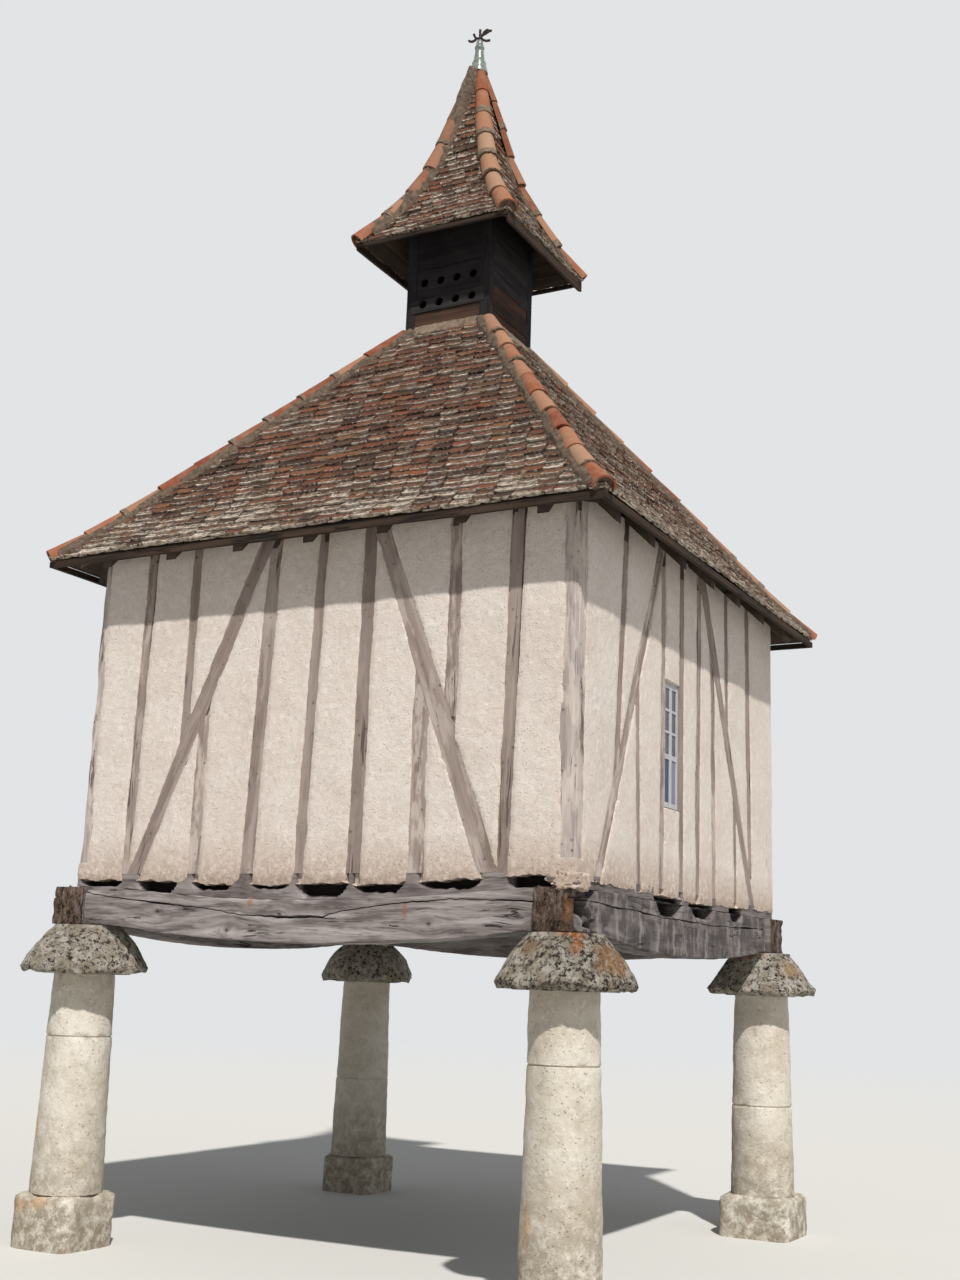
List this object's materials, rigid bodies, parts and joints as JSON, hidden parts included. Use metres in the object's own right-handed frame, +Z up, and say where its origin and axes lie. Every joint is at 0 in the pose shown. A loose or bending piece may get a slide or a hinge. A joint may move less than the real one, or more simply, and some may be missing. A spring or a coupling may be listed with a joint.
{
  "type": "timber-framed dovecote on stone pillars",
  "caption": "Square half-timbered dovecote raised on capped stone pillars, with a hipped tiled roof and a boarded lantern under a swept tiled roof.",
  "frame": {"origin": "middle of the square plan, at ground level under the pillars", "axes": "+Z up, -Y out of the front wall, +X out of the wall with the window"},
  "size_m": [4.5387, 4.5385, 9.7425],
  "materials": {
    "pillar_stone": "pitted pale limestone",
    "cap_stone": "rough limestone crusted with lichen",
    "old_oak": "weathered silver-grey oak with long cracks",
    "roof_wood": "dark unpainted softwood",
    "lantern_wood": "weathered horizontal boards",
    "plaster": "rough-cast lime plaster",
    "plain_tiles": "small plain clay tiles, weathered and lichened",
    "hip_tiles": "tapered half-round clay tiles in mortar",
    "mortar": "lime mortar",
    "window_paint": "faded pale paint",
    "window_glass": "thin clear panes",
    "glazed_finial": "pale glazed earthenware",
    "wrought_iron": "dark forged iron"
  },
  "bodies": {
    "root": {"common_rafters": "roof_wood", "corner_posts": "old_oak", "finial": "glazed_finial", "finial_ornament": "wrought_iron", "floor_boards": "roof_wood", "floor_joists": "roof_wood", "front_and_rear_sill_plates": "old_oak", "front_and_rear_wall_plates": "old_oak", "front_infill": "plaster", "front_left_pillar_base": "pillar_stone", "front_left_pillar_cap": "cap_stone", "front_left_pillar_shaft": "pillar_stone", "front_right_pillar_base": "pillar_stone", "front_right_pillar_cap": "cap_stone", "front_right_pillar_shaft": "pillar_stone", "front_roof_slope": "plain_tiles", "front_sole_beam": "old_oak", "front_studs": "old_oak", "hip_rafters": "roof_wood", "lantern_front_and_rear_boards": "lantern_wood", "lantern_hip_tiles": "hip_tiles", "lantern_kerb": "mortar", "lantern_posts": "lantern_wood", "lantern_rails": "lantern_wood", "lantern_roof": "plain_tiles", "lantern_side_boards": "lantern_wood", "left_infill": "plaster", "left_roof_slope": "plain_tiles", "left_sole_beam": "old_oak", "left_studs": "old_oak", "main_hip_tiles": "hip_tiles", "rear_infill": "plaster", "rear_left_pillar_base": "pillar_stone", "rear_left_pillar_cap": "cap_stone", "rear_left_pillar_shaft": "pillar_stone", "rear_right_pillar_base": "pillar_stone", "rear_right_pillar_cap": "cap_stone", "rear_right_pillar_shaft": "pillar_stone", "rear_roof_slope": "plain_tiles", "rear_sole_beam": "old_oak", "rear_studs": "old_oak", "right_infill": "plaster", "right_roof_slope": "plain_tiles", "right_sole_beam": "old_oak", "right_studs": "old_oak", "side_sill_plates": "old_oak", "side_wall_plates": "old_oak", "wall_braces": "old_oak", "window_frame": "window_paint", "window_glass": "window_glass", "window_lower_panels": "window_paint"}
  },
  "joints": []
}
